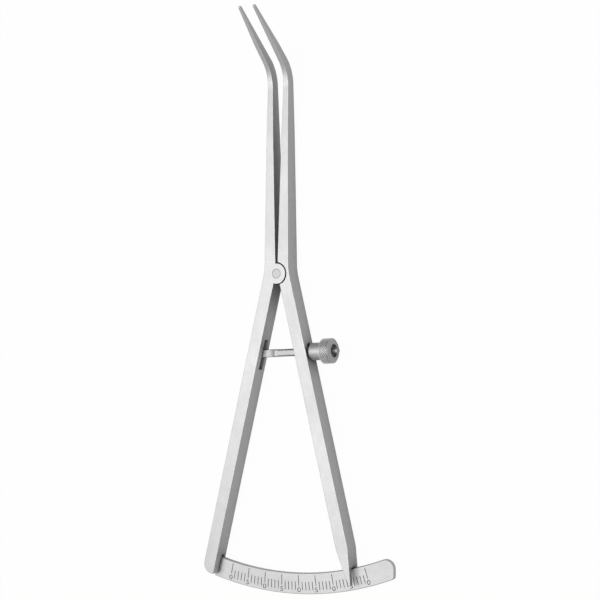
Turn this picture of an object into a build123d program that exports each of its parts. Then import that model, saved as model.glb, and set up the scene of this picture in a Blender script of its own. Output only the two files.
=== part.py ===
from build123d import *
from math import asin, atan2, cos, degrees, radians, sin, sqrt, tan
import os

# Surgical caliper with bent tips and an arc scale, lying on its back.
# The origin is on the pivot's axis, in the plane of the legs' back faces.
# +X is to the right, +Y runs to the tips, +Z is the face with the scale's lines.
# Sizes are in millimetres and angles in degrees.

# Reach and opening
tip_reach = 80.0            # pivot to the tips, along the jaws
scale_range = 40            # largest opening that the scale shows
rest_opening = 4.1          # opening of the tips as the tool lies here
tip_gap = 0.04              # left between the tips when they are closed
leg_spread = 27.3           # angle between the two legs as the tool lies here
left_leg_reach = 97.5       # pivot to the left leg's lower end
pointer_reach = 96.95       # pivot to the point of the right leg

# Legs
body_depth = 5.64           # front to back
leg_inner = 0.3             # inner side of a leg, from the line through the pivot
leg_width = 4.05
root_radius = 20.0          # outside, where a jaw turns into its leg
foot_radius = 3.0           # outer corner of the left leg's end
foot_inner_radius = 0.4
pointer_length = 11.0       # taper at the right leg's end
pointer_blend = 14.0
pointer_width = 0.7         # at the point
pointer_blunt = 0.15
edge_round = 0.15           # on all the long edges

# Jaws
jaw_root = 5.0              # pivot to where a jaw starts to get thinner
jaw_middle = 42.0           # a second station of its depth
jaw_middle_depth = 4.47
bent_reach = 17.0           # the bend to the tips, along the jaws
bend_angle = 50.0
bend_radius = 10.0
bend_depth = 2.95
bend_inner = 0.38           # inner side of a jaw at the bend
bend_outer = 2.03           # outer side there
taper_reach = 10.0          # a second station of the outer side, from the tips back
taper_outer = 1.85
tip_outer = 0.85
tip_depth = 0.75
tip_round = 0.22

# Pivot
disc_radius = 3.1
disc_clearance = 0.5
lap_gap = 0.06              # between the two laps
pin_diameter = 3.0
pin_clearance = 0.03        # running clearance in the right leg
pin_edge_break = 0.16
rivet_diameter = 3.9        # spread back end of the pin
rivet_depth = 0.45

# Scale
scale_inner = 92.25         # radii from the pivot
scale_outer = 98.7
scale_thickness = 1.2
scale_behind = 3.17         # the legs' front face to the scale's front face
scale_end = 38.4            # right end, from the pivot's axis along X
scale_end_radius = 2.8      # inner corner of that end
scale_corner_radius = 1.2   # outer corner
scale_edge_break = 0.25     # along the front edges
scale_tail = 1.1            # the scale runs on below the left foot, from its inner side
scale_notch = 0.8           # the left leg's slot runs on above the scale
long_line_top = 92.95
long_line_end = 96.2
short_line_top = 94.9
short_line_end = 97.45
line_width = 0.24
line_depth = 0.08
lines_per_long = 5
scale_pin_diameter = 1.0
scale_pin_stations = (93.5, 96.2)

# Fork in the right leg that the scale runs through
fork_gap_front = 1.8
fork_gap_back = 0.2
fork_gap_root = 0.22
fork_hole_diameter = 1.3

# Rod between the legs
rod_behind = 3.12           # the legs' front face to the rod's axis
tongue_station = 26.3       # link pin, along the left leg
seat_station = 25.4         # where the rod crosses the right leg
rod_diameter = 2.4
rod_flat_thickness = 1.7
rod_flat_end = 19.4         # link pin to the end of the flats
tongue_thickness = 1.2
tongue_length = 4.6         # link pin to the cutter's run-out
runout_radius = 7.0
thread_start = 7.6
thread_pitch = 0.5
thread_depth = 0.22
rod_end_out = 1.75          # stands out of the nut
rod_end_rise = 0.8          # height of the domed end
point_diameter = 1.8        # plain end after the thread
point_length = 2.6
left_slot_length = 9.6
left_slot_width = 2.2
left_slot_centre = 26.1
right_slot_length = 4.9
right_slot_clearance = 0.15
link_pin_diameter = 1.5
link_pin_clearance = 0.04
pin_cover = 0.9             # metal left in front of the blind pins

# Thumb nut
nut_stop_clearance = 0.15   # from the collar's rim to the right leg's side
nut_length = 7.6
nut_bore_clearance = 0.05
collar_diameter = 5.4
collar_length = 3.55
collar_break = 0.15
shoulder_length = 0.3
head_diameter = 7.7
head_bevel = 0.6
recess_diameter = 4.1
recess_depth = 0.9
recess_cone_depth = 1.0


# Sizes that follow from those above

def opening_angle(opening):
    """Angle between the jaws that opens the tips by this much."""
    return 2 * degrees(asin(opening / (2 * tip_reach)))


jaw_lean = opening_angle(rest_opening) / 2
bend_height = tip_reach - bent_reach
taper_height = tip_reach - taper_reach
leg_outer = leg_inner + leg_width
leg_middle = leg_inner + leg_width / 2
lap_level = body_depth / 2
scale_front = body_depth - scale_behind
scale_back = scale_front - scale_thickness
rod_level = body_depth - rod_behind
blind_depth = body_depth - pin_cover
pointer_angle = leg_spread / 2 + degrees(atan2(leg_middle, pointer_reach))
far = 2 * tip_reach


def on_jaw(side, along, across):
    """A point of a jaw, from the pivot to the tips; side is -1 on the left and 1 on the right."""
    turn = radians(jaw_lean)
    x = along * sin(turn) + across * cos(turn)
    y = along * cos(turn) - across * sin(turn)
    return (side * x, y)


def on_leg(side, along, across):
    """A point of a leg, from the pivot down."""
    turn = radians(leg_spread / 2)
    x = along * sin(turn) + across * cos(turn)
    y = across * sin(turn) - along * cos(turn)
    return (side * x, y)


def on_arc(radius, angle):
    """A point at this radius from the pivot and this angle from straight down towards +X."""
    return (radius * sin(radians(angle)), -radius * cos(radians(angle)))


def side_plane(direction, height):
    """Upright plane through the pivot's axis: first axis along the direction, second axis up."""
    along = Vector(direction[0], direction[1], 0)
    return Plane(origin=(0, 0, height), x_dir=along, z_dir=along.cross(Vector(0, 0, 1)))


def nearest_corner(sketch, point):
    """The sketch's corner that is nearest to a point of its plane."""
    return sketch.vertices().sort_by_distance((point[0], point[1], 0))[0]


def leg_plan(side, foot, rounds):
    """Outline of one jaw and leg from above.

    foot lists the lower end's corners from the inside out, and rounds has a radius for each of them.
    """
    tip_end = tip_reach + tip_depth / 2
    inner_tip = on_jaw(side, tip_end, tip_gap / 2)
    outer_tip = on_jaw(side, tip_end, tip_outer)
    outer_root = on_leg(side, 0, leg_outer)
    corners = [
        inner_tip,
        on_jaw(side, bend_height, bend_inner),
        on_leg(side, 0, leg_inner),
        *foot,
        outer_root,
        on_jaw(side, bend_height, bend_outer),
        on_jaw(side, taper_height, taper_outer),
        outer_tip,
    ]
    with BuildSketch(Plane.XY, mode=Mode.PRIVATE) as plan:
        with BuildLine():
            Polyline(*corners, close=True)
        make_face()
        fillet(nearest_corner(plan, outer_root), radius=root_radius)
        for tip in (inner_tip, outer_tip):
            fillet(nearest_corner(plan, tip), radius=tip_round)
        for corner, radius in zip(foot, rounds):
            fillet(nearest_corner(plan, corner), radius=radius)
    return plan.sketch


def jaw_profile():
    """Outline of a jaw and leg from the side, about its middle, with the bend towards the front."""
    slope = radians(bend_angle)
    rise = bent_reach * tan(slope)
    tip_y = tip_depth / 2 * sin(slope)
    tip_z = tip_depth / 2 * cos(slope)
    shift = bend_depth / 2 * tan(slope / 2)
    front_tip = (tip_reach - tip_y, rise + tip_z)
    back_tip = (tip_reach + tip_y, rise - tip_z)
    front_bend = (bend_height - shift, bend_depth / 2)
    back_bend = (bend_height + shift, -bend_depth / 2)
    with BuildSketch(Plane.XY, mode=Mode.PRIVATE) as profile:
        with BuildLine():
            Polyline(
                (-far, body_depth / 2),
                (jaw_root, body_depth / 2),
                (jaw_middle, jaw_middle_depth / 2),
                front_bend,
                front_tip,
                back_tip,
                back_bend,
                (jaw_middle, -jaw_middle_depth / 2),
                (jaw_root, -body_depth / 2),
                (-far, -body_depth / 2),
                close=True,
            )
        make_face()
        for bend in (front_bend, back_bend):
            fillet(nearest_corner(profile, bend), radius=bend_radius)
        for tip in (front_tip, back_tip):
            fillet(nearest_corner(profile, tip), radius=tip_depth * 0.45)
    return profile.sketch


def long_edges(part):
    """The edges that run along a jaw and leg, without the upright and the very short ones."""
    return [edge for edge in part.edges() if edge.length > 2 * tip_depth and abs((edge % 0.5).Y) > 0.3]


# Left leg

inner_foot = on_leg(-1, left_leg_reach, leg_inner)
left_foot = [inner_foot, on_leg(-1, left_leg_reach, leg_outer)]
left_plan = leg_plan(-1, left_foot, [foot_inner_radius, foot_radius])
link_pin_place = on_leg(-1, tongue_station, leg_middle)
scale_pin_places = [on_leg(-1, station, leg_middle) for station in scale_pin_stations]

with BuildPart() as left_leg:
    with BuildSketch(Plane.XY):
        add(left_plan)
    extrude(amount=far)
    with BuildSketch(side_plane(on_jaw(-1, 1, 0), lap_level)):
        add(jaw_profile())
    extrude(amount=far, both=True, mode=Mode.INTERSECT)
    fillet(long_edges(left_leg), radius=edge_round)
    # Half-lap: room behind for the right leg's disc, and this leg's own disc in front
    with BuildSketch(Plane.XY):
        Circle(disc_radius + disc_clearance)
    extrude(amount=lap_level + lap_gap / 2, mode=Mode.SUBTRACT)
    with BuildSketch(Plane.XY.offset(body_depth)):
        Circle(disc_radius)
    extrude(amount=lap_gap / 2 - lap_level)
    with BuildSketch(Plane.XY):
        Circle(pin_diameter / 2)
    extrude(amount=body_depth, mode=Mode.SUBTRACT)
    # Slot for the rod's tongue, and slot for the scale
    with BuildSketch(side_plane(on_leg(-1, 1, 0), 0)):
        with Locations((left_slot_centre, rod_level)):
            Rectangle(left_slot_length, left_slot_width)
        with Locations((scale_inner - scale_notch, scale_back)):
            Rectangle(far, scale_thickness, align=(Align.MIN, Align.MIN))
    extrude(amount=3 * leg_outer, both=True, mode=Mode.SUBTRACT)
    # Blind holes of the link pin and the scale's pins, from the back
    with BuildSketch(Plane.XY):
        with Locations(link_pin_place):
            Circle(link_pin_diameter / 2)
        with Locations(*scale_pin_places):
            Circle(scale_pin_diameter / 2)
    extrude(amount=blind_depth, mode=Mode.SUBTRACT)


# Right leg

pointer_root = pointer_reach - pointer_length
right_foot = [
    on_leg(1, pointer_root, leg_inner),
    on_leg(1, pointer_reach, leg_middle - pointer_width / 2),
    on_leg(1, pointer_reach, leg_middle + pointer_width / 2),
    on_leg(1, pointer_root, leg_outer),
]
right_plan = leg_plan(1, right_foot, [pointer_blend, pointer_blunt, pointer_blunt, pointer_blend])
fork_root = scale_inner - fork_gap_root
fork_back = scale_back - fork_gap_back
fork_width = fork_gap_front + scale_thickness + fork_gap_back

with BuildPart() as right_leg:
    with BuildSketch(Plane.XY):
        add(right_plan)
    extrude(amount=far)
    with BuildSketch(side_plane(on_jaw(1, 1, 0), lap_level)):
        add(jaw_profile())
    extrude(amount=far, both=True, mode=Mode.INTERSECT)
    fillet(long_edges(right_leg), radius=edge_round)
    # Half-lap: room in front for the left leg's disc, and this leg's own disc behind
    with BuildSketch(Plane.XY.offset(lap_level - lap_gap / 2)):
        Circle(disc_radius + disc_clearance)
    extrude(amount=body_depth, mode=Mode.SUBTRACT)
    with BuildSketch(Plane.XY):
        Circle(disc_radius)
    extrude(amount=lap_level - lap_gap / 2)
    # Running hole of the pivot pin, opened at the back for the pin's spread end
    with BuildSketch(Plane.XY):
        Circle(pin_diameter / 2 + pin_clearance)
    extrude(amount=body_depth, mode=Mode.SUBTRACT)
    with BuildSketch(Plane.XY):
        Circle(rivet_diameter / 2 + pin_clearance)
    extrude(amount=rivet_depth + pin_clearance, mode=Mode.SUBTRACT)
    # Slot for the rod, and the fork that the scale runs through
    with BuildSketch(side_plane(on_leg(1, 1, 0), 0)):
        with Locations((seat_station, rod_level)):
            SlotOverall(right_slot_length, rod_diameter + 2 * right_slot_clearance)
        with Locations((fork_root, fork_back)):
            Rectangle(far, fork_width, align=(Align.MIN, Align.MIN))
        with Locations((fork_root, fork_back + fork_width / 2)):
            Circle(fork_hole_diameter / 2)
    extrude(amount=3 * leg_outer, both=True, mode=Mode.SUBTRACT)


# Pivot pin: pressed into the left leg's lap, and spread at the back to hold the right leg's

with BuildPart() as pivot_pin:
    with BuildSketch(Plane.XY):
        Circle(pin_diameter / 2)
    extrude(amount=body_depth)
    chamfer(pivot_pin.edges().sort_by(Axis.Z)[-1], length=pin_edge_break)
    with BuildSketch(Plane.XY):
        Circle(rivet_diameter / 2)
    extrude(amount=rivet_depth)


# Arc scale

scale_start_angle = -leg_spread / 2 - 2 * degrees(asin(leg_outer / scale_inner))
inner_sweep = degrees(asin(scale_end / scale_inner)) - scale_start_angle
outer_sweep = degrees(asin(scale_end / scale_outer)) - scale_start_angle
end_corner_inner = (scale_end, -sqrt(scale_inner ** 2 - scale_end ** 2))
end_corner_outer = (scale_end, -sqrt(scale_outer ** 2 - scale_end ** 2))
zero_line_angle = pointer_angle + opening_angle(rest_opening)

with BuildSketch(Plane.XY, mode=Mode.PRIVATE) as plate_limit:
    # The left leg's own outline, and all that is on the right of a line down its foot
    with BuildLine():
        tail_side = leg_inner + scale_tail
        Polyline(on_leg(-1, 0, tail_side), on_leg(-1, far, tail_side), (far, -far), (far, 0), close=True)
    make_face()
    add(left_plan)

with BuildPart() as scale_arc:
    with BuildSketch(Plane.XY.offset(scale_back)) as plate:
        with BuildLine():
            CenterArc((0, 0), scale_outer, scale_start_angle - 90, outer_sweep)
            CenterArc((0, 0), scale_inner, scale_start_angle - 90, inner_sweep)
            Line(on_arc(scale_inner, scale_start_angle), on_arc(scale_outer, scale_start_angle))
            Line(end_corner_inner, end_corner_outer)
        make_face()
        fillet(nearest_corner(plate, end_corner_inner), radius=scale_end_radius)
        fillet(nearest_corner(plate, end_corner_outer), radius=scale_corner_radius)
        add(plate_limit.sketch, mode=Mode.INTERSECT)
    extrude(amount=scale_thickness)
    front_edges = scale_arc.edges().group_by(Axis.Z)[-1]
    chamfer([edge for edge in front_edges if (edge @ 0.5).X > inner_foot[0]], length=scale_edge_break)
    with BuildSketch(Plane.XY.offset(scale_front)):
        for opening in range(scale_range + 1):
            angle = zero_line_angle - opening_angle(opening)
            is_long = opening % lines_per_long == 0
            top = long_line_top if is_long else short_line_top
            end = long_line_end if is_long else short_line_end
            with Locations(Location(on_arc((top + end) / 2, angle), angle)):
                Rectangle(line_width, end - top)
    extrude(amount=-line_depth, mode=Mode.SUBTRACT)
    with BuildSketch(Plane.XY):
        with Locations(*scale_pin_places):
            Circle(scale_pin_diameter / 2)
    extrude(amount=body_depth, mode=Mode.SUBTRACT)


# The scale's two pins

with BuildPart() as scale_pins:
    with BuildSketch(Plane.XY):
        with Locations(*scale_pin_places):
            Circle(scale_pin_diameter / 2)
    extrude(amount=blind_depth)


# Link pin

with BuildPart() as link_pin:
    with BuildSketch(Plane.XY):
        with Locations(link_pin_place):
            Circle(link_pin_diameter / 2)
    extrude(amount=blind_depth)


# Rod, from the link pin through the right leg

rod_start = Vector(*link_pin_place, rod_level)
rod_direction = (Vector(*on_leg(1, seat_station, leg_middle), rod_level) - rod_start).normalized()
rod_plan_plane = Plane(origin=rod_start, x_dir=rod_direction, z_dir=(0, 0, 1))
rod_side_plane = Plane(origin=rod_start, x_dir=rod_direction, z_dir=rod_direction.cross(Vector(0, 0, 1)))
rod_axis = Axis(origin=rod_start, direction=rod_direction)

# The nut's rim meets the right leg's outer side, which stands oblique to the rod
leg_across = Vector(*on_leg(1, 0, 1))
squareness = rod_direction.dot(leg_across)
side_distance = (leg_outer - rod_start.dot(leg_across)) / squareness
rim_distance = collar_diameter / 2 * sqrt(1 - squareness ** 2) / squareness
nut_start = side_distance + rim_distance + nut_stop_clearance
nut_end = nut_start + nut_length
rod_end = nut_end + rod_end_out

rod_radius = rod_diameter / 2
point_radius = point_diameter / 2
point_start = rod_end - point_length
dome_radius = (point_radius ** 2 + rod_end_rise ** 2) / (2 * rod_end_rise)
dome_start = rod_end - rod_end_rise
thread_turns = int((point_start - thread_start) / thread_pitch)
core_radius = rod_radius - thread_depth
thread_points = [(thread_start, rod_radius)]
for turn in range(thread_turns):
    groove = thread_start + turn * thread_pitch
    thread_points.append((groove + thread_pitch / 2, core_radius))
    thread_points.append((groove + thread_pitch, rod_radius))
runout_turn = degrees(asin(sqrt(runout_radius ** 2 - (runout_radius - rod_radius) ** 2) / runout_radius))

with BuildPart() as link_rod:
    with BuildSketch(rod_side_plane):
        with BuildLine():
            Polyline((-rod_radius, 0), (-rod_radius, rod_radius), *thread_points, (point_start, rod_radius))
            Polyline((point_start, rod_radius), (point_start, point_radius), (dome_start, point_radius))
            RadiusArc((dome_start, point_radius), (rod_end, 0), dome_radius)
            Line((rod_end, 0), (-rod_radius, 0))
        make_face()
    revolve(axis=rod_axis)
    # Tongue with the cutter's run-out, and the two flats
    with BuildSketch(rod_side_plane):
        with BuildLine():
            start = (tongue_length, tongue_thickness / 2)
            runout = JernArc(start=start, tangent=(1, 0), radius=runout_radius, arc_size=runout_turn)
            Polyline(runout @ 1, (-far, (runout @ 1).Y), (-far, tongue_thickness / 2), start)
        make_face()
        with Locations((rod_flat_end, rod_flat_thickness / 2)):
            Rectangle(far, rod_diameter, align=(Align.MAX, Align.MIN))
        mirror(about=Plane.XZ)
    extrude(amount=rod_diameter, both=True, mode=Mode.SUBTRACT)
    # Round end of the tongue, and its running hole
    with BuildSketch(rod_plan_plane):
        Circle(rod_radius)
        Rectangle(far, rod_diameter, align=(Align.MIN, Align.CENTER))
        Circle(link_pin_diameter / 2 + link_pin_clearance, mode=Mode.SUBTRACT)
    extrude(amount=rod_diameter, both=True, mode=Mode.INTERSECT)


# Thumb nut

bore_radius = rod_radius + nut_bore_clearance
collar_radius = collar_diameter / 2
head_radius = head_diameter / 2
recess_radius = recess_diameter / 2
recess_floor = nut_end - recess_depth

with BuildPart() as thumb_nut:
    with BuildSketch(rod_side_plane):
        with BuildLine():
            Polyline(
                (nut_start, bore_radius),
                (nut_start, collar_radius - collar_break),
                (nut_start + collar_break, collar_radius),
                (nut_start + collar_length, collar_radius),
                (nut_start + collar_length + shoulder_length, head_radius),
                (nut_end - head_bevel, head_radius),
                (nut_end, head_radius - head_bevel),
                (nut_end, recess_radius),
                (recess_floor, recess_radius),
                (recess_floor - recess_cone_depth, bore_radius),
                close=True,
            )
        make_face()
    revolve(axis=rod_axis)


# Names and files

os.makedirs("parts", exist_ok=True)

left_leg.part.label = "left_leg"
export_step(left_leg.part, "parts/left_leg.step")
right_leg.part.label = "right_leg"
export_step(right_leg.part, "parts/right_leg.step")
pivot_pin.part.label = "pivot_pin"
export_step(pivot_pin.part, "parts/pivot_pin.step")
scale_arc.part.label = "scale_arc"
export_step(scale_arc.part, "parts/scale_arc.step")
scale_pins.part.label = "scale_pins"
export_step(scale_pins.part, "parts/scale_pins.step")
link_pin.part.label = "link_pin"
export_step(link_pin.part, "parts/link_pin.step")
link_rod.part.label = "link_rod"
export_step(link_rod.part, "parts/link_rod.step")
thumb_nut.part.label = "thumb_nut"
export_step(thumb_nut.part, "parts/thumb_nut.step")
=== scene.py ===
"""Studio scene of a surgical caliper with bent tips, an arc scale and a thumb nut.

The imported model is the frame: +Z is the face with the scale's lines, +Y runs to the tips, and the
origin is on the pivot's axis in the plane of the legs' back faces. The sizes of the body, the rod's
pin, the nut, the scale's marks and the camera's distance are in millimetres. Sizes inside a finish,
a lamp or the floor are in metres, as in the frame, and the scales of patterns are per metre.
"""

from __future__ import annotations

import logging
import math
from dataclasses import dataclass, field, replace
from enum import Enum
from typing import Any, Sequence

import bmesh
import bpy
from mathutils import Matrix, Vector


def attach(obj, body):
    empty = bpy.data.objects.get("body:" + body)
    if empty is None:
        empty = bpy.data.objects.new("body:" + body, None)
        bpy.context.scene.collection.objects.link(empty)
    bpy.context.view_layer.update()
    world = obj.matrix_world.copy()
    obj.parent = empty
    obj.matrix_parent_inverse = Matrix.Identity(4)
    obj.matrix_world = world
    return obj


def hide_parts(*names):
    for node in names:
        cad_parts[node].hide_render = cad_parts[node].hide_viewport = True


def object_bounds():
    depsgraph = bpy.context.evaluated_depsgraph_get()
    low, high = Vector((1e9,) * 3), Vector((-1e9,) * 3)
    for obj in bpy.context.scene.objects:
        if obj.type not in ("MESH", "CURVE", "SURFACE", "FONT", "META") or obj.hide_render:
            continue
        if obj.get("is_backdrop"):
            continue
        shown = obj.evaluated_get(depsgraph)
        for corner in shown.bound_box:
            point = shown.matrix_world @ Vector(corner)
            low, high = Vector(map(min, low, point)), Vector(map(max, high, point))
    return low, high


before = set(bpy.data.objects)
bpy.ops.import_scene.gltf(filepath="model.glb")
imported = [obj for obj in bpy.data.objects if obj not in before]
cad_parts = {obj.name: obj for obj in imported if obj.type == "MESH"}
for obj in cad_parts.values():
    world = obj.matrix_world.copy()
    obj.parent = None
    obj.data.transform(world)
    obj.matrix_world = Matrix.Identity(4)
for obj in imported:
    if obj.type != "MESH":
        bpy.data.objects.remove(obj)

LOG = logging.getLogger("caliper")
MM = 0.001
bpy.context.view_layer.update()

Socket = bpy.types.NodeSocket
Colour = tuple[float, float, float]
Span = tuple[float, float]
WHITE = (1.0, 1.0, 1.0, 1.0)
UNIT: Span = (0.0, 1.0)

# How far a leg and its jaw lean from straight at rest.
LEG_TURN = math.radians(13.65)
JAW_TURN = math.radians(1.468)
BODY_DEPTH = 5.64
LINK_PIN = Vector((-8.46587, -25.00854, 2.52))
ROD_DIRECTION = Vector((0.998635, 0.052238, 0.0)).normalized()
ROD_TURN = math.atan2(ROD_DIRECTION.y, ROD_DIRECTION.x)


class Body(Enum):
    """The bodies of the frame that the pieces made here ride on."""

    LEFT_SIDE = "left_side"
    NUT = "nut"


class TreeKind(Enum):
    """The kinds of node group."""

    SHADER = "ShaderNodeTree"
    GEOMETRY = "GeometryNodeTree"


class Lay(Enum):
    """The way a steel surface was finished."""

    ALONG_LEG = "brushed along the leg and its jaw"
    AROUND_PIVOT = "brushed along the scale's arc"
    AROUND_ROD = "turned about the rod's axis"
    BLASTED = "blasted, with no direction"


@dataclass(frozen=True)
class Noise:
    """A noise pattern: its scale, how many finer layers it has, and how strong those are."""

    scale: float
    detail: float
    roughness: float = 0.5


class Tree:
    """A node tree with short calls that add nodes and join them."""

    def __init__(self, tree: bpy.types.NodeTree) -> None:
        """Keeps the tree.

        Args:
            tree: A material's, a world's or a group's tree.
        """
        self.tree = tree

    def node(
        self, kind: str, inputs: dict[str | int, Any] | None = None, **settings: Any
    ) -> bpy.types.Node:
        """Adds a node.

        Args:
            kind: The node's type name.
            inputs: Values or sockets by input name or number.
            **settings: The node's own properties.

        Returns:
            The new node.
        """
        made = self.tree.nodes.new(kind)
        for name, value in settings.items():
            setattr(made, name, value)
        for name, value in (inputs or {}).items():
            self.put(made.inputs[name], value)
        return made

    def put(self, socket: Socket, value: Any) -> None:
        """Links a socket to an input, or sets the input's own value.

        Args:
            socket: The input.
            value: A socket or a plain value.
        """
        if isinstance(value, Socket):
            self.tree.links.new(value, socket)
        else:
            socket.default_value = value

    def group(self, tree: bpy.types.NodeTree, inputs: dict[str, Any]) -> Any:
        """Places a shared shader group.

        Args:
            tree: The group's tree.
            inputs: Values or sockets by input name.

        Returns:
            The group's outputs, by name.
        """
        return self.node("ShaderNodeGroup", inputs, node_tree=tree).outputs

    def math(self, operation: str, *values: Any, clamp: bool = False) -> Socket:
        """Adds a Math node.

        Args:
            operation: The Math node's operation.
            *values: One, two or three values or sockets.
            clamp: Whether the result stays between 0 and 1.

        Returns:
            The result's socket.
        """
        inputs = dict(enumerate(values))
        return self.node("ShaderNodeMath", inputs, operation=operation, use_clamp=clamp).outputs[0]

    def plus(self, first: Any, second: Any) -> Socket:
        """Adds two values."""
        return self.math("ADD", first, second)

    def minus(self, first: Any, second: Any) -> Socket:
        """Takes the second value from the first."""
        return self.math("SUBTRACT", first, second)

    def times(self, first: Any, second: Any) -> Socket:
        """Multiplies two values."""
        return self.math("MULTIPLY", first, second)

    def over(self, first: Any, second: Any) -> Socket:
        """Divides the first value by the second."""
        return self.math("DIVIDE", first, second)

    def most(self, first: Any, second: Any) -> Socket:
        """Takes the larger of two values."""
        return self.math("MAXIMUM", first, second)

    def axes(self, vector: Any) -> Any:
        """Splits a vector into outputs named X, Y and Z."""
        return self.node("ShaderNodeSeparateXYZ", {0: vector}).outputs

    def vector(self, x: Any, y: Any, z: Any) -> Socket:
        """Joins three values into a vector."""
        return self.node("ShaderNodeCombineXYZ", {0: x, 1: y, 2: z}).outputs[0]

    def noise(self, vector: Socket, pattern: Noise) -> Socket:
        """Adds a noise texture.

        Args:
            vector: Where the noise is read.
            pattern: Its scale and layers.

        Returns:
            The noise's value.
        """
        inputs = {
            "Vector": vector,
            "Scale": pattern.scale,
            "Detail": pattern.detail,
            "Roughness": pattern.roughness,
        }
        return self.node("ShaderNodeTexNoise", inputs).outputs[0]

    def blend(self, factor: Any, first: Any, second: Any) -> Socket:
        """Adds a colour mix.

        Args:
            factor: 0 gives the first colour and 1 the second.
            first: A colour or a socket.
            second: A colour or a socket.

        Returns:
            The mixed colour's socket.
        """
        made = self.node("ShaderNodeMix", data_type="RGBA")
        self.put(made.inputs["Factor"], factor)
        self.put(made.inputs[6], first)
        self.put(made.inputs[7], second)
        return made.outputs[2]

    def spread(self, value: Any, source: tuple[Any, Any], result: Span = UNIT) -> Socket:
        """Adds a Map Range node, which holds its result inside the range.

        Args:
            value: The socket to remap.
            source: The values or sockets that become the two results.
            result: The two results.

        Returns:
            The remapped value's socket.
        """
        inputs = {0: value, 1: source[0], 2: source[1], 3: result[0], 4: result[1]}
        return self.node("ShaderNodeMapRange", inputs).outputs[0]

    def end(self, kind: str, shader: bpy.types.Node) -> None:
        """Joins a shader to the tree's end.

        Args:
            kind: The type name of the output node.
            shader: The last shader.
        """
        self.put(self.node(kind).inputs["Surface"], shader.outputs[0])


def new_group(
    name: str, kind: TreeKind, takes: Sequence[tuple[str, str, Any]], gives: Sequence[str]
) -> tuple[Tree, Any, Any]:
    """Starts a node group with named sockets.

    Args:
        name: The group's name.
        kind: Whether it is for a material or for geometry.
        takes: Name, socket type and default value of each input.
        gives: The name of each output, which is a number, or the geometry itself.

    Returns:
        The tree, the values that it takes, and the places for those that it gives.
    """
    tree = bpy.data.node_groups.new(name, kind.value)
    for label, socket, default in takes:
        made = tree.interface.new_socket(label, in_out="INPUT", socket_type=f"NodeSocket{socket}")
        if default is not None:
            made.default_value = default
    for label in gives:
        socket = "Geometry" if kind is TreeKind.GEOMETRY else "Float"
        tree.interface.new_socket(label, in_out="OUTPUT", socket_type=f"NodeSocket{socket}")
    build = Tree(tree)
    return build, build.node("NodeGroupInput").outputs, build.node("NodeGroupOutput").inputs


def new_material(name: str) -> tuple[bpy.types.Material, Tree]:
    """Starts a material with an empty tree.

    Args:
        name: The material's name.

    Returns:
        The material and its tree.
    """
    material = bpy.data.materials.new(name)
    material.use_nodes = True
    material.node_tree.nodes.clear()
    return material, Tree(material.node_tree)


def add_object(name: str, data: bpy.types.ID) -> bpy.types.Object:
    """Makes an object and puts it into the scene.

    Args:
        name: The object's name.
        data: Its mesh, text, lamp or camera data.

    Returns:
        The object.
    """
    made = bpy.data.objects.new(name, data)
    bpy.context.scene.collection.objects.link(made)
    return made


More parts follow.
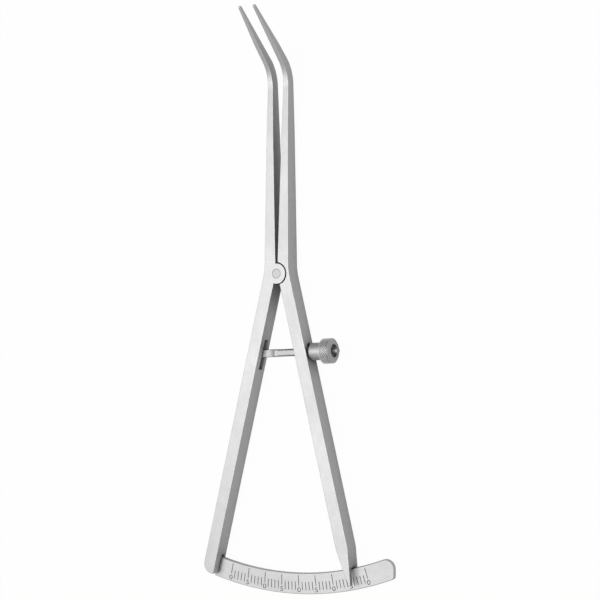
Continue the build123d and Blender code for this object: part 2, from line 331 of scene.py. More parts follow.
@dataclass
class SurfaceEffects:
    """The shader groups that several finishes share."""

    ground: Noise = Noise(5200.0, 3.0, 0.65)
    lines: Noise = Noise(1.0, 2.0)
    line_stretch: tuple[float, float, float] = (7000.0, 260.0, 7000.0)
    grain_span: Span = (0.32, 0.68)
    sharpest_likeness: float = 0.86
    wear_patches: Noise = Noise(650.0, 3.0)
    wear_span: Span = (0.38, 0.62)
    wear_least: float = 0.35
    wear_samples: int = 6
    small_patches: Noise = Noise(620.0, 4.0, 0.6)
    broad_patches: Noise = Noise(70.0, 4.0, 0.6)
    patch_span: Span = (0.3, 0.7)
    painted_hollow_shade_samples: int = 8
    grain: bpy.types.NodeTree = field(init=False)
    edge_wear_and_highlight: bpy.types.NodeTree = field(init=False)
    handling: bpy.types.NodeTree = field(init=False)
    painted_hollow_shade: bpy.types.NodeTree = field(init=False)

    def __post_init__(self) -> None:
        """Builds each group once."""
        self.grain = self._grain()
        self.edge_wear_and_highlight = self._edge_wear_and_highlight()
        self.handling = self._handling()
        self.painted_hollow_shade = self._painted_hollow_shade()

    def _grain(self) -> bpy.types.NodeTree:
        """Fine satin grain: short streaks over a blasted ground.

        Returns:
            The group, with a tone mask and a height.
        """
        takes = [("Vector", "Vector", None), ("Streaks", "Float", 0.5)]
        build, taken, given = new_group("satin grain", TreeKind.SHADER, takes, ["Tone", "Height"])
        vector, streaks = taken["Vector"], taken["Streaks"]
        ground = build.noise(vector, self.ground)
        inputs = {0: vector, 1: self.line_stretch}
        drawn = build.node("ShaderNodeVectorMath", inputs, operation="MULTIPLY")
        lines = build.noise(drawn.outputs[0], self.lines)
        weight = build.minus(1.0, streaks)
        tone = build.plus(build.times(ground, weight), build.times(lines, streaks))
        build.put(given["Tone"], build.spread(tone, self.grain_span))
        build.put(given["Height"], tone)
        return build.tree

    def _edge_wear_and_highlight(self) -> bpy.types.NodeTree:
        """A mask along edges, broken up as handling breaks it; on the nut it paints a highlight.

        Returns:
            The group, with the mask.
        """
        takes = [("Vector", "Vector", None), ("Width", "Float", 0.0003)]
        build, taken, given = new_group("edge wear and highlight", TreeKind.SHADER, takes, ["Mask"])
        inputs = {"Radius": taken["Width"]}
        rounded = build.node("ShaderNodeBevel", inputs, samples=self.wear_samples)
        flat = build.node("ShaderNodeNewGeometry").outputs["Normal"]
        inputs = {0: rounded.outputs[0], 1: flat}
        likeness = build.node("ShaderNodeVectorMath", inputs, operation="DOT_PRODUCT")
        bend = build.spread(likeness.outputs["Value"], (1.0, self.sharpest_likeness))
        patches = build.noise(taken["Vector"], self.wear_patches)
        uneven = build.spread(patches, self.wear_span, (self.wear_least, 1.0))
        build.put(given["Mask"], build.math("MULTIPLY", bend, uneven, clamp=True))
        return build.tree

    def _handling(self) -> bpy.types.NodeTree:
        """Soft patches where the satin is a little lighter or darker.

        Returns:
            The group, with patches a few millimetres wide and broad ones.
        """
        takes = [("Vector", "Vector", None)]
        build, taken, given = new_group("handling", TreeKind.SHADER, takes, ["Small", "Broad"])
        for name, pattern in (("Small", self.small_patches), ("Broad", self.broad_patches)):
            cloud = build.noise(taken["Vector"], pattern)
            build.put(given[name], build.spread(cloud, self.patch_span))
        return build.tree

    def _painted_hollow_shade(self) -> bpy.types.NodeTree:
        """A mask of painted shade that grows in slots, corners and gaps between parts.

        Returns:
            The group, with the mask.
        """
        takes = [("Reach", "Float", 0.004), ("Open", "Float", 0.5), ("Shut", "Float", 0.1)]
        build, taken, given = new_group("painted_hollow_shade", TreeKind.SHADER, takes, ["Mask"])
        inputs = {"Distance": taken["Reach"]}
        seen = build.node("ShaderNodeAmbientOcclusion", inputs, samples=self.painted_hollow_shade_samples)
        mask = build.spread(seen.outputs["AO"], (taken["Open"], taken["Shut"]))
        build.put(given["Mask"], mask)
        return build.tree


@dataclass(frozen=True)
class EdgeWearAndHighlight:
    """Rubbed edges, and on the nut a painted highlight along the rim.

    How strong they are, how far in they reach, and their colour's share of the steel's.
    """

    share: float = 0.35
    width: float = 0.00030
    gain: float = 1.22


@dataclass(frozen=True)
class PaintedHollowShade:
    """Painted shade in corners, slots and gaps between parts.

    The reach is how far neighbours count. The painted shade starts where the share of open
    surroundings falls to open, and is full at shut. The tone is its share of the steel's colour.
    """

    reach: float = 0.004
    open: float = 0.5
    shut: float = 0.1
    tone: float = 0.35


@dataclass(frozen=True)
class CrestHighlight:
    """The radii of a tooth's painted highlight, and how far along the rod the teeth reach."""

    radii: Span
    last: float


@dataclass(frozen=True)
class ProngShade:
    """Painted shade on the side of the pointer's front prong, over the scale's plate.

    The top is a span along +Y, the back and the front are spans along +Z, and the level is a span
    of how squarely a face looks along Z, because only the sides take the painted shade.
    """

    share: float = 0.90
    top: Span = (-0.0880, -0.0886)
    back: Span = (0.0012, 0.0022)
    front: Span = (0.0024, 0.0056)
    front_share: float = 0.6
    level: Span = (0.3, 0.7)

    def mask(self, build: Tree, up: Socket, front: Socket) -> Socket:
        """Adds the mask to a material.

        Args:
            build: The material's tree.
            up: The second object coordinate.
            front: The third object coordinate.

        Returns:
            The mask's socket.
        """
        facing = build.axes(build.node("ShaderNodeNewGeometry").outputs["Normal"])
        sides = build.spread(build.math("ABSOLUTE", facing["Z"]), self.level, (1.0, 0.0))
        near = build.spread(front, self.front, (1.0, self.front_share))
        touch = build.times(build.spread(front, self.back), near)
        below = build.spread(up, self.top, (0.0, self.share))
        return build.times(build.times(sides, touch), below)


@dataclass(frozen=True)
class SteelFinish:
    """A steel surface: its colour, its satin and how its grain lies.

    The turns are those of the grain on the jaw and on the leg. The jaw's share says how much of
    the painted shade in the hollows stays above the pivot.
    """

    name: str
    colour: Colour
    roughness: float
    lay: Lay
    turns: Span = (0.0, 0.0)
    streaks: float = 0.5
    edges_worn_and_lit: EdgeWearAndHighlight = EdgeWearAndHighlight()
    painted_hollow_shade: PaintedHollowShade = PaintedHollowShade()
    jaw_share: float = 1.0
    jaw_span: Span = (-0.004, 0.004)
    crest_highlight: CrestHighlight | None = None
    prong: ProngShade | None = None
    light_gain: float = 1.06
    dark_gain: float = 0.90
    grain_share: float = 0.55
    mottle: float = 0.45
    patch_roughness: Span = (-0.03, 0.04)
    grain_roughness: Span = (-0.03, 0.03)
    wear_polish: float = 0.22
    relief: float = 0.000004
    arc_radius: float = 0.095
    turned_radius: float = 0.003

    def make(self, effects: SurfaceEffects) -> bpy.types.Material:
        """Builds the material.

        Args:
            effects: The shared shader groups.

        Returns:
            The material.
        """
        material, build = new_material(self.name)
        place = build.node("ShaderNodeTexCoord").outputs["Object"]
        along = self._along(build, place)
        grain = build.group(effects.grain, {"Vector": along, "Streaks": self.streaks})
        edges_worn_and_lit = build.group(effects.edge_wear_and_highlight, {"Vector": place, "Width": self.edges_worn_and_lit.width})
        marks = build.group(effects.handling, {"Vector": place})
        worn_and_lit = build.times(edges_worn_and_lit["Mask"], self.edges_worn_and_lit.share)

        grain_tone = build.times(grain["Tone"], self.grain_share)
        grained = build.blend(grain_tone, self._tone(self.light_gain), self._tone(self.dark_gain))
        mottled = build.times(marks["Small"], self.mottle)
        clouded = build.blend(mottled, grained, self._tone(self.dark_gain))
        # Edges and the knurl's tops take the edge tone, a painted highlight on the nut.
        shining = build.blend(self._shine(build, place, worn_and_lit), clouded, self._tone(self.edges_worn_and_lit.gain))
        shade = self._shade(build, place, effects)
        # Painted shade darkens the hollows and the pointer's prong towards the shade's tone.
        colour = build.blend(shade, shining, self._tone(self.painted_hollow_shade.tone))

        low, high = (self.roughness + change for change in self.patch_roughness)
        soft = build.spread(marks["Broad"], UNIT, (low, high))
        fine = build.spread(grain["Tone"], UNIT, self.grain_roughness)
        polish = build.times(worn_and_lit, self.wear_polish)
        roughness = build.minus(build.plus(soft, fine), polish)

        inputs = {"Strength": 1.0, "Distance": self.relief, "Height": grain["Height"]}
        bump = build.node("ShaderNodeBump", inputs).outputs[0]
        inputs = {"Base Color": colour, "Metallic": 1.0, "Roughness": roughness, "Normal": bump}
        shader = build.node("ShaderNodeBsdfPrincipled", inputs)
        build.end("ShaderNodeOutputMaterial", shader)
        return material

    def _tone(self, gain: float) -> tuple[float, float, float, float]:
        """The steel's colour, made lighter or darker."""
        return (*(min(1.0, part * gain) for part in self.colour), 1.0)

    def _shine(self, build: Tree, place: Socket, worn_and_lit: Socket) -> Socket:
        """The mask of rubbed edges and of the painted highlights on the nut's rim and teeth.

        Args:
            build: The material's tree.
            place: The object coordinates.
            worn_and_lit: The mask of rubbed edges, which on the nut is a painted highlight along
                the rim.

        Returns:
            The mask's socket.
        """
        if self.crest_highlight is None:
            return worn_and_lit
        along, _, _, radius = self._from_rod(build, place)
        before = build.math("LESS_THAN", along, self.crest_highlight.last)
        # Painted highlight on the knurl's tops, found by their radius about the rod.
        return build.most(worn_and_lit, build.times(before, build.spread(radius, self.crest_highlight.radii)))

    def _shade(self, build: Tree, place: Socket, effects: SurfaceEffects) -> Socket:
        """The mask of painted shade in the hollows and on the pointer's prong.

        Args:
            build: The material's tree.
            place: The object coordinates.
            effects: The shared shader groups.

        Returns:
            The mask's socket.
        """
        painted_hollow_shade = self.painted_hollow_shade
        inputs = {"Reach": painted_hollow_shade.reach, "Open": painted_hollow_shade.open, "Shut": painted_hollow_shade.shut}
        # Ambient occlusion paints shade where near parts close a point in.
        shade = build.group(effects.painted_hollow_shade, inputs)["Mask"]
        axes = build.axes(place)
        if self.jaw_share < 1.0:
            kept = build.spread(axes["Y"], self.jaw_span, (1.0, self.jaw_share))
            shade = build.times(shade, kept)
        if self.prong is not None:
            shade = build.most(shade, self.prong.mask(build, axes["Y"], axes["Z"]))
        return shade

    def _along(self, build: Tree, place: Socket) -> Socket:
        """Turns the object's coordinates so that the second one runs along the grain.

        Args:
            build: The material's tree.
            place: The object coordinates.

        Returns:
            The turned coordinates.
        """
        if self.lay is Lay.ALONG_LEG:
            below = build.math("LESS_THAN", build.axes(place)["Y"], 0.0)
            inputs = {"Vector": place, "Angle": build.spread(below, UNIT, self.turns)}
            return build.node("ShaderNodeVectorRotate", inputs, rotation_type="Z_AXIS").outputs[0]
        if self.lay is Lay.AROUND_PIVOT:
            axes = build.axes(place)
            angle = build.math("ARCTAN2", axes["X"], build.times(axes["Y"], -1.0))
            reach = build.node("ShaderNodeVectorMath", {0: place}, operation="LENGTH")
            arc = build.times(angle, self.arc_radius)
            return build.vector(reach.outputs["Value"], arc, axes["Z"])
        if self.lay is Lay.AROUND_ROD:
            along, across, front, radius = self._from_rod(build, place)
            angle = build.math("ARCTAN2", front, across)
            return build.vector(along, build.times(angle, self.turned_radius), radius)
        return place

    @staticmethod
    def _from_rod(build: Tree, place: Socket) -> tuple[Socket, Socket, Socket, Socket]:
        """Puts a point in the rod's own axes.

        Args:
            build: The material's tree.
            place: The object coordinates.

        Returns:
            The distances along the rod, across it and to the front, and from the rod's axis.
        """
        inputs = {
            "Vector": place,
            "Location": -(Matrix.Rotation(-ROD_TURN, 3, "Z") @ (LINK_PIN * MM)),
            "Rotation": (0.0, 0.0, -ROD_TURN),
        }
        axes = build.axes(build.node("ShaderNodeMapping", inputs, vector_type="POINT").outputs[0])
        squares = (build.math("POWER", axes[name], 2.0) for name in "YZ")
        return axes["X"], axes["Y"], axes["Z"], build.math("SQRT", build.plus(*squares))


@dataclass(frozen=True)
class MarkFinish:
    """The dark filling of the scale's lines and numbers."""

    name: str = "dark marks"
    colour: Colour = (0.035, 0.035, 0.037)
    faded_gain: float = 2.6
    specks: Noise = Noise(9000.0, 2.0)
    speck_span: Span = (0.45, 0.7)
    roughness: float = 0.62
    relief: float = 0.000005
    relief_share: float = 0.5

    def make(self) -> bpy.types.Material:
        """Builds the material.

        Returns:
            The material.
        """
        material, build = new_material(self.name)
        place = build.node("ShaderNodeTexCoord").outputs["Object"]
        specks = build.noise(place, self.specks)
        faded = (*(part * self.faded_gain for part in self.colour), 1.0)
        colour = build.blend(build.spread(specks, self.speck_span), (*self.colour, 1.0), faded)
        inputs = {"Strength": self.relief_share, "Distance": self.relief, "Height": specks}
        bump = build.node("ShaderNodeBump", inputs).outputs[0]
        inputs = {
            "Base Color": colour,
            "Metallic": 0.0,
            "Roughness": self.roughness,
            "Normal": bump,
        }
        shader = build.node("ShaderNodeBsdfPrincipled", inputs)
        build.end("ShaderNodeOutputMaterial", shader)
        return material


def bake(piece: bpy.types.Object, name: str, place: Matrix | None = None) -> bpy.types.Object:
    """Turns a piece with a live modifier or a text into a plain mesh at the origin.

    Args:
        piece: The object to bake, which is removed.
        name: The finished piece's name.
        place: Where its mesh goes.

    Returns:
        The finished piece.
    """
    bpy.context.view_layer.update()
    graph = bpy.context.evaluated_depsgraph_get()
    mesh = bpy.data.meshes.new_from_object(piece.evaluated_get(graph))
    if place is not None:
        mesh.transform(place)
    bpy.data.objects.remove(piece)
    mesh.name = name
    return add_object(name, mesh)


def grow(base: bpy.types.Object, tree: bpy.types.NodeTree, values: dict[str, Any]) -> None:
    """Adds a Geometry Nodes modifier and sets its inputs.

    Args:
        base: The object that carries it.
        tree: The geometry tree.
        values: Values by the name of the tree's input.
    """
    modifier = base.modifiers.new(tree.name, "NODES")
    modifier.node_group = tree
    for item in tree.interface.items_tree:
        if item.in_out == "INPUT" and item.name in values:
            modifier[item.identifier] = values[item.name]


def scatter(
    build: Tree, piece: Socket, count: Socket, place: Socket, turn: Socket, scale: Socket
) -> Socket:
    """Sets copies of a small mesh.

    Args:
        build: The geometry tree.
        piece: The mesh.
        count: The number of copies.
        place: The place of each copy.
        turn: The rotation of each copy.
        scale: The scale of each copy.

    Returns:
        The copies' geometry.
    """
    points = build.node("GeometryNodePoints", {"Count": count}).outputs[0]
    inputs = {"Geometry": points, "Position": place}
    placed = build.node("GeometryNodeSetPosition", inputs).outputs[0]
    inputs = {"Points": placed, "Instance": piece, "Rotation": turn, "Scale": scale}
    return build.node("GeometryNodeInstanceOnPoints", inputs).outputs[0]


def settle(build: Tree, geometry: Socket, material: Socket, given: Any) -> bpy.types.NodeTree:
    """Ends a geometry tree.

    Args:
        build: The geometry tree.
        geometry: The geometry with its copies.
        material: The material of all of it.
        given: The places for what the tree gives.

    Returns:
        The tree.
    """
    real = build.node("GeometryNodeRealizeInstances", {0: geometry}).outputs[0]
    dressed = build.node("GeometryNodeSetMaterial", {"Geometry": real, "Material": material})
    build.put(given["Geometry"], dressed.outputs[0])
    return build.tree


@dataclass
class ThumbNut:
    """The nut: a plain collar, a knurled head and a recess that the rod's end stands in."""

    start: float = 19.461
    length: float = 7.6
    collar_radius: float = 2.7
    collar_length: float = 3.55
    collar_round: float = 0.16
    shoulder_length: float = 0.3
    head_radius: float = 3.85
    bevel: float = 0.6
    recess_radius: float = 2.05
    recess_depth: float = 0.9
    cone_depth: float = 1.0
    bore_radius: float = 1.25
    knurl_depth: float = 0.30
    knurl_top: float = 0.54
    knurl_columns: int = 30
    knurl_rows: int = 7
    knurl_gap: float = 0.02
    knurl_sink: float = 0.005
    knurl_drop: float = 0.12
    knurl_drop_length: float = 0.45
    drop_steps: int = 5
    ring_length: float = 0.04
    segments: int = 128

    @property
    def head_start(self) -> float:
        """Where the head begins, along the rod."""
        return self.start + self.collar_length + self.shoulder_length

    @property
    def band_end(self) -> float:
        """Where the knurled band ends, along the rod."""
        return self.start + self.length - self.bevel - self.ring_length

    def frame_place(self) -> Matrix:
        """Puts the rod's own axes, the first one along the rod, into the frame.

        Returns:
            The matrix.
        """
        front = Vector((0.0, 0.0, 1.0))
        turn = Matrix((ROD_DIRECTION, front.cross(ROD_DIRECTION), front)).transposed()
        return Matrix.Translation(LINK_PIN * MM) @ turn.to_4x4()

    def profile(self) -> list[tuple[float, float]]:
        """Half outline of the nut, closed, as distance along the rod and radius.

        The small steps in its stretches, a few hundredths each, ease the corners.

        Returns:
            The points, from the bore's near end over the outside to its far end.
        """
        return [
            (self.start, self.bore_radius),
            *rounded_corner((self.start, self.collar_radius), self.collar_round),
            *self._shoulder(),
            *self._rim(),
            *self._recess(),
        ]

    def _shoulder(self) -> list[tuple[float, float]]:
        """The collar's end, the slope up to the head and the knurl's ground.

        Returns:
            The points.
        """
        collar_end = self.start + self.collar_length
        root = self.head_radius - self.knurl_depth
        points = [
            (collar_end - 0.06, self.collar_radius),
            (collar_end + 0.02, self.collar_radius + 0.08),
            (self.head_start - 0.04, root - self.knurl_drop - 0.06),
        ]
        for step in range(self.drop_steps + 1):
            share = step / self.drop_steps
            lost = self.knurl_drop * (1.0 - share) ** 2
            points.append((self.head_start + self.knurl_drop_length * share, root - lost))
        points.append((self.band_end - 0.05, root))
        return points

    def _rim(self) -> list[tuple[float, float]]:
        """The plain ring past the knurl and the head's rounded bevel.

        Returns:
            The points.
        """
        end = self.start + self.length
        return [
            (self.band_end, self.head_radius - 0.01),
            (end - self.bevel + 0.08, self.head_radius - 0.03),
            (end - 0.12, self.head_radius - self.bevel + 0.06),
            (end - 0.03, self.head_radius - self.bevel - 0.05),
            (end, self.head_radius - self.bevel - 0.16),
        ]

    def _recess(self) -> list[tuple[float, float]]:
        """The recess in the head's end and the cone at its bottom.

        Returns:
            The points.
        """
        end = self.start + self.length
        return [
            (end, self.recess_radius + 0.10),
            (end - 0.03, self.recess_radius + 0.03),
            (end - 0.10, self.recess_radius),
            (end - self.recess_depth, self.recess_radius - 0.02),
            (end - self.recess_depth - self.cone_depth, self.bore_radius),
        ]

    def knurl_tree(self) -> bpy.types.NodeTree:
        """Geometry tree that sets crossed rows of diamonds round the head.

        Returns:
            The tree.
        """
        takes = [
            ("Geometry", "Geometry", None),
            ("Columns", "Int", 40),
            ("Rows", "Int", 10),
            ("Radius", "Float", 0.0037),
            ("Start", "Float", 0.0),
            ("Length", "Float", 0.003),
            ("Depth", "Float", 0.0002),
            ("Top", "Float", 0.4),
            ("Drop", "Float", 0.0002),
            ("Drop length", "Float", 0.0007),
            ("Steel", "Material", None),
        ]
        build, size, given = new_group("knurl", TreeKind.GEOMETRY, takes, ["Geometry"])
        index = build.node("GeometryNodeInputIndex").outputs[0]
        row = build.math("FLOOR", build.over(index, size["Columns"]))
        column = build.math("MODULO", index, size["Columns"])
        stagger = build.times(build.math("MODULO", row, 2.0), 0.5)
        step = build.over(math.tau, size["Columns"])
        angle = build.times(build.plus(column, stagger), step)
        cosine, sine = build.math("COSINE", angle), build.math("SINE", angle)
        half = build.over(size["Length"], build.plus(size["Rows"], 1.0))
        along = build.plus(size["Start"], build.times(build.plus(row, 1.0), half))

        # The ground drops away towards the collar along a parabola.
        past = build.over(build.minus(along, size["Start"]), size["Drop length"])
        near = build.math("SUBTRACT", 1.0, past, clamp=True)
        lost = build.times(size["Drop"], build.times(near, near))
        slope = build.times(build.over(build.times(size["Drop"], 2.0), size["Drop length"]), near)
        root = build.minus(build.minus(size["Radius"], size["Depth"]), lost)

        place = build.vector(along, build.times(cosine, root), build.times(sine, root))
        count = build.times(size["Columns"], size["Rows"])
        inputs = {
            "Vertices": 4,
            "Side Segments": 1,
            "Radius Top": size["Top"],
            "Radius Bottom": 1.0,
            "Depth": 1.0,
        }
        tooth = build.node("GeometryNodeMeshCone", inputs).outputs["Mesh"]
        outward = build.vector(build.times(slope, -1.0), cosine, sine)
        onward = build.vector(1.0, build.times(slope, cosine), build.times(slope, sine))
        axes = {"primary_axis": "Z", "secondary_axis": "X"}
        facing = build.node("FunctionNodeAxesToRotation", {0: outward, 1: onward}, **axes)
        wide = build.times(build.times(step, 0.5), root)
        scale = build.vector(half, wide, size["Depth"])
        teeth = scatter(build, tooth, count, place, facing.outputs[0], scale)
        both = build.node("GeometryNodeJoinGeometry")
        build.put(both.inputs[0], teeth)
        build.put(both.inputs[0], size["Geometry"])
        return settle(build, both.outputs[0], size["Steel"], given)

    def build(self, steel: bpy.types.Material) -> bpy.types.Object:
        """Makes the nut in its place.

        Args:
            steel: The nut's material.

        Returns:
            The finished piece.
        """
        outline = [(along * MM, radius * MM) for along, radius in self.profile()]
        blank = add_object("nut blank", lathe("nut blank", outline, self.segments))
        values = {
            "Columns": self.knurl_columns,
            "Rows": self.knurl_rows,
            "Radius": (self.head_radius - self.knurl_sink) * MM,
            "Start": (self.head_start + self.knurl_gap) * MM,
            "Length": (self.band_end - self.head_start - 2.0 * self.knurl_gap) * MM,
            "Depth": self.knurl_depth * MM,
            "Top": self.knurl_top,
            "Drop": self.knurl_drop * MM,
            "Drop length": self.knurl_drop_length * MM,
            "Steel": steel,
        }
        grow(blank, self.knurl_tree(), values)
        return bake(blank, "knurled_thumb_nut", self.frame_place())


def rounded_corner(
    corner: tuple[float, float], radius: float, steps: int = 4
) -> list[tuple[float, float]]:
    """Points of a quarter arc that rounds the outer corner at a collar's near end.

    Args:
        corner: Where the two straight lines would meet.
        radius: The arc's radius.
        steps: How many pieces the arc has.

    Returns:
        The points from the first line to the second.
    """
    centre = (corner[0] + radius, corner[1] - radius)
    points = []
    for step in range(steps + 1):
        turn = math.radians(180.0 - 90.0 * step / steps)
        points.append((centre[0] + radius * math.cos(turn), centre[1] + radius * math.sin(turn)))
    return points


def lathe(
    name: str, profile: Sequence[tuple[float, float]], segments: int, crease: float = 28.0
) -> bpy.types.Mesh:
    """Turns a closed half outline about the first axis.

    Args:
        name: The mesh's name.
        profile: Distance along the axis and radius of each point.
        segments: How many flats the round has.
        crease: The angle in degrees past which an edge stays sharp.

    Returns:
        The mesh, with its faces outwards.
    """
    shell = bmesh.new()
    rings = []
    for step in range(segments):
        turn = math.tau * step / segments
        cosine, sine = math.cos(turn), math.sin(turn)
        rings.append([shell.verts.new((a, r * cosine, r * sine)) for a, r in profile])
    for here, after in zip(rings, rings[1:] + rings[:1]):
        for k in range(len(profile)):
            n = (k + 1) % len(profile)
            shell.faces.new((here[k], here[n], after[n], after[k]))
    bmesh.ops.recalc_face_normals(shell, faces=shell.faces)
    mesh = bpy.data.meshes.new(name)
    shell.to_mesh(mesh)
    shell.free()
    for face in mesh.polygons:
        face.use_smooth = True
    mesh.set_sharp_from_angle(angle=math.radians(crease))
    return mesh


@dataclass
class ArcScale:
    """The marks on the scale: a line for each millimetre of opening, a number at every fifth."""

    tip_reach: float = 80.0
    openings: int = 41
    per_long: int = 5
    zero_angle: float = math.radians(17.9598)
    face_height: float = 2.47
    long_top: float = 92.95
    long_end: float = 96.2
    short_top: float = 94.9
    short_end: float = 97.45
    line_width: float = 0.24
    filling_depth: float = 0.06
    filling_below: float = 0.012
    number_radius: float = 97.45
    number_height: float = 1.45
    number_stretch: float = 1.25
    number_relief: float = 0.004
    number_steps: int = 6
    figure_share: float = 0.70

    def line_angle(self, opening: float) -> float:
        """The angle, from straight down, of the line for an opening in millimetres."""
        return self.zero_angle - 2.0 * math.asin(opening / (2.0 * self.tip_reach))

    def line_tree(self) -> bpy.types.NodeTree:
        """Geometry tree that lays the filled lines along the arc.

        Returns:
            The tree.
        """
        takes = [
            ("Geometry", "Geometry", None),
            ("Lines", "Int", 41),
            ("Per long line", "Int", 5),
            ("Tip reach", "Float", 80.0),
            ("Zero angle", "Float", 0.3),
            ("Long top", "Float", 0.09),
            ("Long end", "Float", 0.09),
            ("Short top", "Float", 0.09),
            ("Short end", "Float", 0.09),
            ("Width", "Float", 0.00015),
            ("Depth", "Float", 0.00006),
            ("Height", "Float", 0.0024),
            ("Ink", "Material", None),
        ]
        build, size, given = new_group("scale lines", TreeKind.GEOMETRY, takes, ["Geometry"])
        index = build.node("GeometryNodeInputIndex").outputs[0]
        chord = build.over(index, build.times(size["Tip reach"], 2.0))
        swing = build.times(build.math("ARCSINE", chord), 2.0)
        angle = build.minus(size["Zero angle"], swing)
        is_long = build.math("LESS_THAN", build.math("MODULO", index, size["Per long line"]), 0.5)

        def chosen(short: str, long: str) -> Socket:
            """The long line's value where the line is long, and else the short one's."""
            inputs = {0: is_long, 2: size[short], 3: size[long]}
            return build.node("ShaderNodeMix", inputs, data_type="FLOAT").outputs[0]

        top, end = chosen("Short top", "Long top"), chosen("Short end", "Long end")
        middle = build.times(build.plus(top, end), 0.5)
        right = build.times(build.math("SINE", angle), middle)
        up = build.times(build.times(build.math("COSINE", angle), middle), -1.0)
        place = build.vector(right, up, size["Height"])
        bar = build.node("GeometryNodeMeshCube", {"Size": (1.0, 1.0, 1.0)}).outputs["Mesh"]
        turn = build.vector(0.0, 0.0, angle)
        scale = build.vector(size["Width"], build.minus(end, top), size["Depth"])
        bars = scatter(build, bar, size["Lines"], place, turn, scale)
        return settle(build, bars, size["Ink"], given)

    def build_lines(self, ink: bpy.types.Material) -> bpy.types.Object:
        """Fills the grooves of the scale's lines.

        Args:
            ink: The marks' material.

        Returns:
            The finished piece.
        """
        base = add_object("line base", bpy.data.meshes.new("line base"))
        height = self.face_height - self.filling_below - self.filling_depth / 2.0
        values = {
            "Lines": self.openings,
            "Per long line": self.per_long,
            "Tip reach": self.tip_reach,
            "Zero angle": self.zero_angle,
            "Long top": self.long_top * MM,
            "Long end": self.long_end * MM,
            "Short top": self.short_top * MM,
            "Short end": self.short_end * MM,
            "Width": self.line_width * MM,
            "Depth": self.filling_depth * MM,
            "Height": height * MM,
            "Ink": ink,
        }
        grow(base, self.line_tree(), values)
        return bake(base, "scale_lines")

    def build_number(self, opening: int) -> bpy.types.Object:
        """Sets a 0 or a 5 under a long line.

        Args:
            opening: The line's opening in millimetres.

        Returns:
            The figure as a mesh in its place.
        """
        text = bpy.data.curves.new("number", "FONT")
        text.body = str(opening % 10)
        text.size = self.number_height * MM / self.figure_share
        text.align_x = "CENTER"
        text.align_y = "CENTER"
        text.extrude = self.number_relief * MM
        text.resolution_u = self.number_steps
        angle = self.line_angle(opening)
        spot = Vector((math.sin(angle), -math.cos(angle), 0.0)) * self.number_radius * MM
        spot.z = self.face_height * MM
        place = Matrix.Translation(spot) @ Matrix.Rotation(angle, 4, "Z")
        wider = Matrix.Diagonal((self.number_stretch, 1.0, 1.0, 1.0))
        return bake(add_object("number", text), "number", place @ wider)

    def build_numbers(self, ink: bpy.types.Material) -> bpy.types.Object:
        """Sets the numbers under the long lines.

        Args:
            ink: The marks' material.

        Returns:
            The finished piece.
        """
        gathered = bmesh.new()
        for opening in range(0, self.openings, self.per_long):
            figure = self.build_number(opening)
            gathered.from_mesh(figure.data)
            bpy.data.objects.remove(figure)
        mesh = bpy.data.meshes.new("scale_numbers")
        gathered.to_mesh(mesh)
        gathered.free()
        mesh.materials.append(ink)
        return add_object("scale_numbers", mesh)


@dataclass(frozen=True)
class Softbox:
    """A soft lamp that faces the pivot. With a radiance of 1 it would look plain white."""

    name: str
    place: tuple[float, float, float]
    width: float
    height: float
    radiance: float

    def build(self) -> None:
        """Adds the lamp."""
        data = bpy.data.lights.new(self.name, "AREA")
        data.shape = "RECTANGLE"
        data.size, data.size_y = self.width, self.height
        data.energy = self.radiance * math.pi * self.width * self.height
        lamp = add_object(self.name, data)
        lamp.location = self.place
        lamp.rotation_euler = (-Vector(self.place)).to_track_quat("-Z", "Y").to_euler()


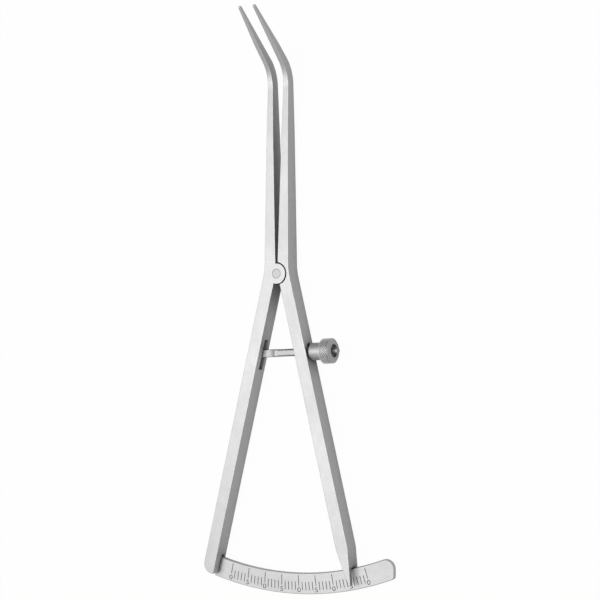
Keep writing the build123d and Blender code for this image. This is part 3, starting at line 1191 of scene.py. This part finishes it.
@dataclass
class Studio:
    """Camera, floor, backdrop and lamps."""

    azimuth: float = 30.093
    elevation: float = -1.148
    roll: float = -0.066
    distance: float = 447.283
    focal_pixels: float = 1440.635
    pivot_shift: tuple[float, float] = (-19.089, -26.270)
    image_width: float = 600.0
    sensor_width: float = 36.0
    clip: Span = (0.01, 20.0)
    floor_half: float = 3.0
    floor_grey: float = 0.57
    floor_seen_white: float = 0.97
    floor_mirrored_white: float = 0.05
    world_strength: float = 0.41
    key: Softbox = Softbox("overhead softbox", (-0.02, 0.0, 0.70), 0.45, 0.90, 4.25)
    front: Softbox = Softbox("front softbox", (-0.20, -0.75, 0.16), 0.60, 0.24, 1.25)

    def build_camera(self) -> None:
        """Puts the camera at the photograph's viewing angle."""
        az, el, roll = (math.radians(v) for v in (self.azimuth, self.elevation, self.roll))
        back = Vector((math.sin(az) * math.cos(el), math.sin(el), math.cos(az) * math.cos(el)))
        right = Vector((0.0, 1.0, 0.0)).cross(back).normalized()
        up = back.cross(right)
        rolled_right = math.cos(roll) * right + math.sin(roll) * up
        rolled_up = -math.sin(roll) * right + math.cos(roll) * up
        data = bpy.data.cameras.new("camera")
        data.sensor_width = self.sensor_width
        data.lens = self.focal_pixels / self.image_width * data.sensor_width
        data.shift_x = -self.pivot_shift[0] / self.image_width
        data.shift_y = self.pivot_shift[1] / self.image_width
        data.clip_start, data.clip_end = self.clip
        camera = add_object("camera", data)
        pivot = Vector((0.0, 0.0, BODY_DEPTH / 2.0))
        turn = Matrix((rolled_right, rolled_up, back)).transposed().to_4x4()
        camera.matrix_world = Matrix.Translation((pivot + back * self.distance) * MM) @ turn
        bpy.context.scene.camera = camera

    def build_floor(self, height: float) -> None:
        """Lays a plain pale floor under the caliper.

        Args:
            height: The floor's height in the frame.
        """
        mesh = bpy.data.meshes.new("floor")
        signs = ((-1, -1), (1, -1), (1, 1), (-1, 1))
        corners = [(x * self.floor_half, y * self.floor_half, height) for x, y in signs]
        mesh.from_pydata(corners, [], [(0, 1, 2, 3)])
        floor = add_object("floor", mesh)
        material, build = new_material("pale floor")
        seen = build.node("ShaderNodeLightPath").outputs
        mirrored = build.most(seen["Is Glossy Ray"], seen["Is Transmission Ray"])
        share = build.most(
            build.times(seen["Is Camera Ray"], self.floor_seen_white),
            build.times(mirrored, self.floor_mirrored_white),
        )
        grey = (self.floor_grey, self.floor_grey, self.floor_grey, 1.0)
        matt = build.node("ShaderNodeBsdfDiffuse", {"Color": grey}).outputs[0]
        glow = build.node("ShaderNodeEmission", {"Color": WHITE, "Strength": 1.0}).outputs[0]
        mixed = build.node("ShaderNodeMixShader", {0: share, 1: matt, 2: glow})
        build.end("ShaderNodeOutputMaterial", mixed)
        mesh.materials.append(material)
        floor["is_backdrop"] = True

    def build_world(self) -> None:
        """Gives the soft surrounding light and the white that the camera sees."""
        world = bpy.data.worlds.new("studio")
        world.use_nodes = True
        world.node_tree.nodes.clear()
        build = Tree(world.node_tree)
        seen = build.node("ShaderNodeLightPath").outputs
        direct = build.most(seen["Is Camera Ray"], seen["Is Transmission Ray"])
        strength = build.spread(direct, UNIT, (self.world_strength, 1.0))
        sky = build.node("ShaderNodeBackground", {"Color": WHITE, "Strength": strength})
        build.end("ShaderNodeOutputWorld", sky)
        bpy.context.scene.world = world

    def build(self) -> None:
        """Sets up the whole studio."""
        self.build_camera()
        self.build_floor(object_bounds()[0].z)
        self.build_world()
        self.key.build()
        self.front.build()
        bpy.context.scene.view_settings.view_transform = "Standard"


@dataclass
class Caliper:
    """The whole instrument: the frame's own pieces, dressed, and those that are made here."""

    effects: SurfaceEffects
    nut: ThumbNut
    scale: ArcScale

    def finishes(self) -> dict[str, SteelFinish]:
        """The finish of each of the frame's nodes.

        Returns:
            The finishes, by the node's name.
        """
        left = SteelFinish(
            "satin steel, left leg", (0.52, 0.52, 0.523), 0.57, Lay.ALONG_LEG,
            turns=(-JAW_TURN, LEG_TURN),
            edges_worn_and_lit=EdgeWearAndHighlight(share=0.6, gain=0.80),
            # Painted shade between the legs and in their slots, dropped above the pivot.
            painted_hollow_shade=PaintedHollowShade(reach=0.008, open=0.61, shut=0.0, tone=0.30),
            jaw_share=0.0,
        )
        # The right leg also paints shade on its pointer's prong.
        right = replace(
            left, name="satin steel, right leg", turns=(JAW_TURN, -LEG_TURN), prong=ProngShade()
        )
        plate = SteelFinish(
            "satin steel, scale", (0.55, 0.55, 0.553), 0.62, Lay.AROUND_PIVOT,
            streaks=0.6,
            edges_worn_and_lit=EdgeWearAndHighlight(share=0.7, gain=0.68),
            # Painted shade on the plate beside the pointer's prong.
            painted_hollow_shade=PaintedHollowShade(reach=0.0017, open=0.80, shut=0.58, tone=0.18),
        )
        pin = SteelFinish(
            "satin steel, pins", (0.46, 0.46, 0.463), 0.60, Lay.BLASTED, streaks=0.0
        )
        rod = SteelFinish(
            "turned steel, rod", (0.375, 0.375, 0.378), 0.50, Lay.AROUND_ROD, streaks=0.7
        )
        return {
            "left_leg": left,
            "right_leg": right,
            "pivot_pin": pin,
            "scale_arc": plate,
            "scale_pins": pin,
            "link_pin": pin,
            "link_rod": rod,
        }

    def nut_finish(self) -> SteelFinish:
        """The finish of the thumb nut."""
        return SteelFinish(
            "turned steel, nut", (0.48, 0.48, 0.477), 0.57, Lay.AROUND_ROD,
            streaks=0.7,
            # On the nut the edges and the knurl's tops are brightened to white as a painted
            # highlight.
            edges_worn_and_lit=EdgeWearAndHighlight(share=0.55, width=0.00022, gain=2.1),
            # Painted shade in the nut's recess and next to its collar.
            painted_hollow_shade=PaintedHollowShade(reach=0.0014, open=0.85, shut=0.40, tone=0.22),
            crest_highlight=CrestHighlight(radii=(0.00362, 0.00376), last=0.02640),
        )

    def dress_nodes(self) -> None:
        """Gives each of the frame's shown nodes its finish."""
        made: dict[SteelFinish, bpy.types.Material] = {}
        for node, finish in self.finishes().items():
            if finish not in made:
                made[finish] = finish.make(self.effects)
            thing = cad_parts[node]
            thing.data.materials.clear()
            thing.data.materials.append(made[finish])
            LOG.info("%s has the finish %s", node, finish.name)

    def build_nut(self) -> None:
        """Makes the thumb nut and puts it on its body."""
        piece = self.nut.build(self.nut_finish().make(self.effects))
        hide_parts("thumb_nut")
        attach(piece, Body.NUT.value)
        LOG.info("thumb nut: %d faces", len(piece.data.polygons))

    def build_marks(self) -> None:
        """Makes the scale's lines and numbers."""
        ink = MarkFinish().make()
        for piece in (self.scale.build_lines(ink), self.scale.build_numbers(ink)):
            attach(piece, Body.LEFT_SIDE.value)
            LOG.info("%s: %d faces", piece.name, len(piece.data.polygons))


def main() -> None:
    """Builds the studio and the caliper, piece by piece."""
    logging.basicConfig(level=logging.INFO, format="%(name)s: %(message)s")
    Studio().build()
    caliper = Caliper(SurfaceEffects(), ThumbNut(), ArcScale())
    caliper.dress_nodes()
    caliper.build_nut()
    caliper.build_marks()


if __name__ == "__main__":
    main()
